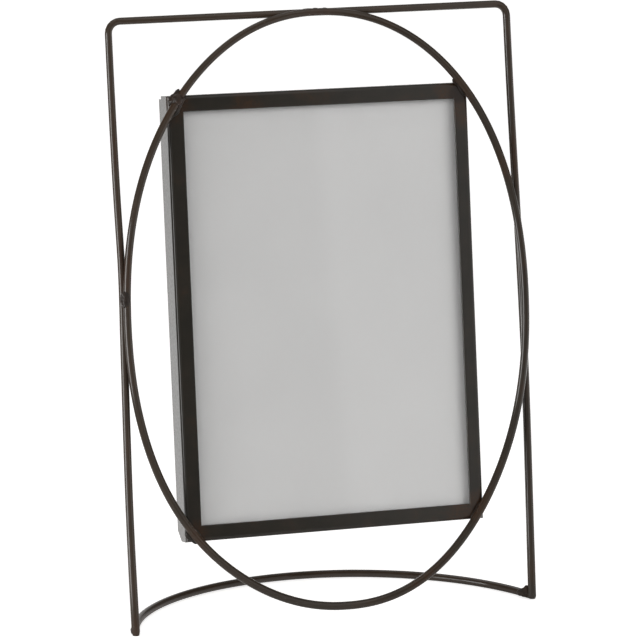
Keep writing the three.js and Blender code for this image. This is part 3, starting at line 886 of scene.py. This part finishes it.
def corner_notches():
    """The open corners at the back of the walls: square at the top, cut off at a slant at the bottom."""
    cutters = []
    reach = 2 * SHEET_THICKNESS
    back = BEZEL_FACE + BOX_DEPTH
    top, bottom = MIDDLE + BOX_HALF_HEIGHT, MIDDLE - BOX_HALF_HEIGHT
    for side in (-1, 1):
        near, far = sorted((side * (BOX_HALF_WIDTH - CORNER_NOTCH), side * (BOX_HALF_WIDTH + reach)))
        low, high = (near, back - CORNER_NOTCH_DEPTH, top - CORNER_NOTCH), (far, back + reach, top + reach)
        cutters.append(block(low, high))
        slant = CORNER_SLANT * (1 + reach / CORNER_SLANT_DEPTH)
        low, high = (near, back - CORNER_SLANT_DEPTH, bottom - reach), (far, back + reach, bottom + slant)
        cutters.append(block(low, high, slant))
    return cutters


def clip_slots(rise):
    """The slots that the tips of two clips turn in, in the top or bottom wall."""
    cutters = []
    for pivot in PIVOTS.values():
        place = in_plane(pivot)
        if (place.z > MIDDLE) == (rise > 0):
            wall = MIDDLE + rise * (BOX_HALF_HEIGHT - SHEET_THICKNESS / 2)
            centre_back = place.y + CLIP_THICKNESS / 2
            half = Vector((SLOT_LENGTH / 2, SLOT_DEPTH / 2, 1.5 * SHEET_THICKNESS))
            middle = Vector((place.x, centre_back, wall))
            cutters.append(block(middle - half, middle + half))
    return cutters


# Glass, card and board

def rounded_rectangle(half_width, half_height, corner, steps):
    """Places (across, up) round a rectangle with round corners, anticlockwise from the lower right."""
    places = []
    for turn, (side, rise) in zip((-90, 0, 90, 180), ((1, -1), (1, 1), (-1, 1), (-1, -1))):
        for step in range(steps + 1):
            angle = math.radians(turn + 90 * step / steps)
            across = side * (half_width - corner) + corner * math.cos(angle)
            up = rise * (half_height - corner) + corner * math.sin(angle)
            places.append((across, up))
    return places


def slab_mesh(name, outline, front, back, edge):
    """A sheet with an outline in the plane, between two depths, with its edges worn by a small chamfer."""
    bm = bmesh.new()
    rings = []
    for inset, depth in ((edge, front), (0.0, front + edge), (0.0, back - edge), (edge, back)):
        ring = []
        for across, up in outline:
            length = math.hypot(across, up)
            share = 1 - inset / length
            ring.append(bm.verts.new(at(across * share, depth, MIDDLE + up * share)))
        rings.append(ring)
    bridge_rings(bm, rings, closed=False)
    return mesh_of(bm, name)


def board_outline(half_width, half_height):
    """A rectangle with a round thumb notch in the middle of its lower edge."""
    outline = rounded_rectangle(half_width, half_height, 0.6 * MM, 3)
    notch = []
    for step in range(25):
        angle = math.radians(180 - 180 * step / 24)
        across, rise = THUMB_NOTCH_RADIUS * math.cos(angle), THUMB_NOTCH_RADIUS * math.sin(angle)
        notch.append((across, rise - half_height))
    return outline + notch


# Clips and rivets

def clip_line():
    """Stations along a clip, from its round tip to its thumb lip: (run, lift, half width, pitch)."""
    stations = []
    half = CLIP_WIDTH / 2
    shoulder = math.asin(half / CLIP_REACH)
    for step in range(9):
        angle = shoulder * max(step, 0.25) / 8
        stations.append((CLIP_REACH * math.cos(angle), 0.0, CLIP_REACH * math.sin(angle), 0.0))
    for step in range(1, 7):
        straight = CLIP_REACH * math.cos(shoulder)
        stations.append((straight - (straight + CLIP_TAIL - 1 * MM) * step / 6, 0.0, half, 0.0))
    run, lift = stations[-1][0], 0.0
    for step in range(1, 7):
        pitch = math.radians(CLIP_LIP_DEGREES * step / 6)
        run -= CLIP_BEND_STEP * math.cos(pitch)
        lift += CLIP_BEND_STEP * math.sin(pitch)
        stations.append((run, lift, half, pitch))
    straight = CLIP_LIP - CLIP_LIP_CORNER
    for step in range(1, 8):
        pitch = math.radians(CLIP_LIP_DEGREES)
        turn = math.radians(90 * (step - 1) / 6)
        along = straight + CLIP_LIP_CORNER * math.sin(turn)
        narrow = half - CLIP_LIP_CORNER * (1 - math.cos(turn))
        stations.append((run - along * math.cos(pitch), lift + along * math.sin(pitch), narrow, pitch))
    return stations


def clip_mesh(name, pivot, rise):
    """A turn clip: a strip with a round tip, a bored pivot and a tail turned up as a thumb lip."""
    bm = bmesh.new()
    rings = []
    for run, lift, half, pitch in clip_line():
        edge = min(0.2 * MM, 0.45 * half)
        ring = []
        for across, through in rounded_rectangle(half, CLIP_THICKNESS / 2, edge, 3):
            depth = CLIP_THICKNESS / 2 + lift + through * math.cos(pitch)
            up = run + through * math.sin(pitch)
            ring.append(bm.verts.new(pivot + ACROSS * across * rise + BACK * depth + UP * up * rise))
        rings.append(ring)
    bridge_rings(bm, rings, closed=False)
    bore = drill(pivot, RIVET_SHANK_RADIUS + SEAT_GAP, 6 * CLIP_THICKNESS)
    return carved(mesh_of(bm, name), [bore])


def rivet_mesh(name, pivot, foot_depth):
    """A domed rivet: sunk foot, shank and a head with a softened rim."""
    seat = CLIP_THICKNESS + SEAT_GAP
    foot_top = foot_depth + RIVET_FOOT_HEIGHT
    profile = [
        (RIVET_FOOT_RADIUS, foot_depth), (RIVET_FOOT_RADIUS, foot_top),
        (RIVET_SHANK_RADIUS, foot_top), (RIVET_SHANK_RADIUS, seat),
        (RIVET_HEAD_RADIUS - RIVET_RIM, seat), (RIVET_HEAD_RADIUS, seat + RIVET_RIM),
    ]
    for step in range(1, 9):
        angle = math.radians(84 * step / 8)
        height = seat + RIVET_RIM + (RIVET_HEAD_HEIGHT - RIVET_RIM) * math.sin(angle)
        profile.append((RIVET_HEAD_RADIUS * math.cos(angle), height))
    bm = bmesh.new()
    rings = []
    for radius, depth in profile:
        ring = []
        for number in range(ROUND_SIDES):
            angle = 2 * math.pi * number / ROUND_SIDES
            spoke = ACROSS * math.cos(angle) + UP * math.sin(angle)
            ring.append(bm.verts.new(pivot + spoke * radius + BACK * depth))
        rings.append(ring)
    bridge_rings(bm, rings, closed=False)
    return mesh_of(bm, name)


# Making the pieces

def add_stand():
    marks = brown_and_gap_shade_marks()
    hoop = cut_level(wire_mesh("hoop", hoop_points(), BACK, False, 3))
    oval = wire_mesh("oval", oval_points(), BACK, True, 7)
    arc = wire_mesh("arc", arc_points(), Vector((0, 0, 1)), False, 11, ARC_SHARE)
    for name, mesh, node in (("hoop_wire", hoop, "outer_hoop"), ("oval_wire", oval, "oval_hoop"),
                             ("foot_arc_wire", arc, "foot_arc")):
        mark_browning(mesh, marks)
        mark_wear(mesh, WIRE_WEAR[node])
        add_piece(name, mesh, "antique_iron", node, sharp_degrees=50)


def add_welds():
    add_weld("weld_top", top_lobes(), 1)
    for side, name in ((-1, "left"), (1, "right")):
        add_weld(f"weld_side_{name}", side_lobes(side), 2 + side, browning=0.7)
        add_weld(f"weld_foot_{name}", foot_lobes(side), 5 + side, roughness=0.12, browning=0.8)
    for number, (name, (side, rise, roughness, browning, places)) in enumerate(CORNER_WELDS.items()):
        add_weld(f"weld_corner_{name}", corner_lobes(side, rise, places), 20 + number, roughness, browning)


def add_box():
    marks = brown_and_gap_shade_marks()
    width = {side: BEZEL_WIDTH + stray for side, stray in BEZEL_STRAYS.items()}
    for number, (name, turn, half_length, half_span, ends, slots) in enumerate((
        ("left", 0, BOX_HALF_HEIGHT, BOX_HALF_WIDTH, ("bottom", "top"), []),
        ("top", math.pi / 2, BOX_HALF_WIDTH, BOX_HALF_HEIGHT, ("left", "right"), clip_slots(1)),
        ("right", math.pi, BOX_HALF_HEIGHT, BOX_HALF_WIDTH, ("top", "bottom"), []),
        ("bottom", -math.pi / 2, BOX_HALF_WIDTH, BOX_HALF_HEIGHT, ("right", "left"), clip_slots(-1)),
    )):
        end_widths = [width[end] for end in ends]
        rail = rail_mesh(name, half_length, half_span, turn, width[name], end_widths, 31 + number)
        mesh = carved(rail, slots + corner_notches())
        mark_browning(mesh, marks)
        add_piece(f"rail_{name}_strip", mesh, "antique_iron", f"rail_{name}")


def add_picture():
    for name, node, slot, edge in (("glass_sheet", "glass_pane", "clear_glass", 0.2 * MM),
                                   ("blank_photo_card", "photo_insert", "blank_card", 0.04 * MM)):
        low, high = plane_box(node)
        outline = rounded_rectangle((high.x - low.x) / 2, (high.z - low.z) / 2, 0.5 * MM, 3)
        add_piece(name, slab_mesh(name, outline, low.y, high.y, edge), slot, node)
    low, high = plane_box("backing_board")
    outline = board_outline((high.x - low.x) / 2, (high.z - low.z) / 2)
    holes = [drill(pivot, RIVET_SHANK_RADIUS + SEAT_GAP, 20 * MM) for pivot in PIVOTS.values()]
    board = carved(slab_mesh("board", outline, low.y, high.y, 0.25 * MM), holes)
    add_piece("hardboard_back", board, "hardboard", "backing_board")


def add_clips():
    for body, pivot in PIVOTS.items():
        corner = body.removeprefix("turn_clip_")
        rise = 1 if in_plane(pivot).z > MIDDLE else -1
        foot_depth = plane_box(f"rivet_{corner}")[0].y - in_plane(pivot).y
        clip, rivet = clip_mesh("clip", pivot, rise), rivet_mesh("rivet", pivot, foot_depth)
        add_piece(f"clip_{corner}_strip", clip, "plated_steel", f"clip_{corner}", body)
        add_piece(f"rivet_{corner}_dome", rivet, "plated_steel", f"rivet_{corner}")


# Camera, floor and light

def add_camera():
    left, rise = math.radians(CAMERA_LEFT_DEGREES), math.radians(CAMERA_RISE_DEGREES)
    away = Vector((-math.sin(left) * math.cos(rise), -math.cos(left) * math.cos(rise), math.sin(rise)))
    data = bpy.data.cameras.new("camera")
    data.sensor_fit = "HORIZONTAL"
    data.sensor_width = 36
    data.lens = CAMERA_LENS_MM
    camera = bpy.data.objects.new("camera", data)
    camera.location = CAMERA_TARGET + away * CAMERA_DISTANCE
    camera.rotation_euler = (-away).to_track_quat("-Z", "Y").to_euler()
    bpy.context.scene.collection.objects.link(camera)
    bpy.context.scene.camera = camera


def background_rays(tree, mirrored_share):
    """1 for the rays that show the background: seen or through glass, and a share of those mirrored."""
    path = tree.nodes.new("ShaderNodeLightPath")
    mirrored = math_node(tree, "MULTIPLY", path.outputs["Is Glossy Ray"], mirrored_share)
    seen = math_node(tree, "MAXIMUM", path.outputs["Is Camera Ray"], path.outputs["Is Transmission Ray"])
    return math_node(tree, "MAXIMUM", seen, mirrored)


def add_floor():
    """A white table top that keeps the frame's soft shadow. It ends near the frame at the left and front."""
    bm = bmesh.new()
    bm.faces.new([bm.verts.new((*corner, 0)) for corner in FLOOR_CORNERS])
    floor = bpy.data.objects.new("floor", mesh_of(bm, "floor"))
    bpy.context.scene.collection.objects.link(floor)
    material = bpy.data.materials.new("white_floor")
    material.use_nodes = True
    tree = material.node_tree
    tree.nodes.clear()
    cloud = grain(tree, place_socket(tree), 0.4, detail=2)
    paint = ramp(tree, cloud, (0.3, (0.84, 0.82, 0.8)), (0.7, (0.86, 0.84, 0.82)))
    diffuse = add_node(tree, "ShaderNodeBsdfDiffuse", Color=paint)
    glow = add_node(tree, "ShaderNodeEmission", Color=(1, 1, 1, 1))
    depth = add_node(tree, "ShaderNodeSeparateXYZ", Vector=place_socket(tree)).outputs["Y"]
    mirrored = ranged(tree, depth, *FLOOR_MIRROR_FADE, 0, FLOOR_MIRRORED)
    strength = math_node(tree, "MULTIPLY", background_rays(tree, mirrored), FLOOR_GLOW)
    set_input(tree, glow.inputs["Strength"], strength)
    both = tree.nodes.new("ShaderNodeAddShader")
    set_input(tree, both.inputs[0], diffuse.outputs[0])
    set_input(tree, both.inputs[1], glow.outputs[0])
    output = tree.nodes.new("ShaderNodeOutputMaterial")
    set_input(tree, output.inputs["Surface"], both.outputs[0])
    material.cycles.emission_sampling = "NONE"
    floor.data.materials.append(material)


def add_lamp(name, location, size, power, mirrored):
    data = bpy.data.lights.new(name, "AREA")
    data.shape = "RECTANGLE"
    data.size, data.size_y = size
    data.energy = power
    lamp = bpy.data.objects.new(name, data)
    lamp.location = location
    lamp.rotation_euler = (CAMERA_TARGET - lamp.location).to_track_quat("-Z", "Y").to_euler()
    lamp.visible_glossy = mirrored
    bpy.context.scene.collection.objects.link(lamp)


def add_world():
    """A dim studio with a soft ceiling and bands of light: a backdrop and a card on the right."""
    world = bpy.data.worlds.new("studio")
    world.use_nodes = True
    bpy.context.scene.world = world
    tree = world.node_tree
    tree.nodes.clear()
    direction = tree.nodes.new("ShaderNodeTexCoord").outputs["Generated"]
    parts = add_node(tree, "ShaderNodeSeparateXYZ", Vector=direction)
    front = math_node(tree, "MULTIPLY", parts.outputs["Y"], -1)
    azimuth = math_node(tree, "ARCTAN2", parts.outputs["X"], front)
    elevation = math_node(tree, "ARCSINE", parts.outputs["Z"])
    start, level = STUDIO_CEILING
    studio = ranged(tree, elevation, *map(math.radians, start), STUDIO_DIM, level)
    for start, end, top, level in STUDIO_BANDS:
        band = ranged(tree, azimuth, *map(math.radians, start), 0, level)
        for angle, fade in ((azimuth, end), (elevation, top)):
            band = math_node(tree, "MULTIPLY", band, ranged(tree, angle, *map(math.radians, fade), 1, 0))
        studio = math_node(tree, "ADD", band, studio)
    path = tree.nodes.new("ShaderNodeLightPath")
    direct = math_node(tree, "LESS_THAN", path.outputs["Diffuse Depth"], 0.5)
    through = math_node(tree, "MULTIPLY", path.outputs["Is Transmission Ray"], direct)
    seen = math_node(tree, "MAXIMUM", path.outputs["Is Camera Ray"], through)
    level = math_node(tree, "MAXIMUM", studio, seen)
    light = add_node(tree, "ShaderNodeBackground", Color=(1, 1, 1, 1), Strength=level)
    output = tree.nodes.new("ShaderNodeOutputWorld")
    set_input(tree, output.inputs["Surface"], light.outputs[0])


def add_light():
    add_world()
    for lamp in LAMPS:
        add_lamp(*lamp)


add_stand()
add_welds()
add_box()
add_picture()
add_clips()
add_camera()
add_floor()
add_light()
bpy.context.scene.view_settings.view_transform = "Standard"
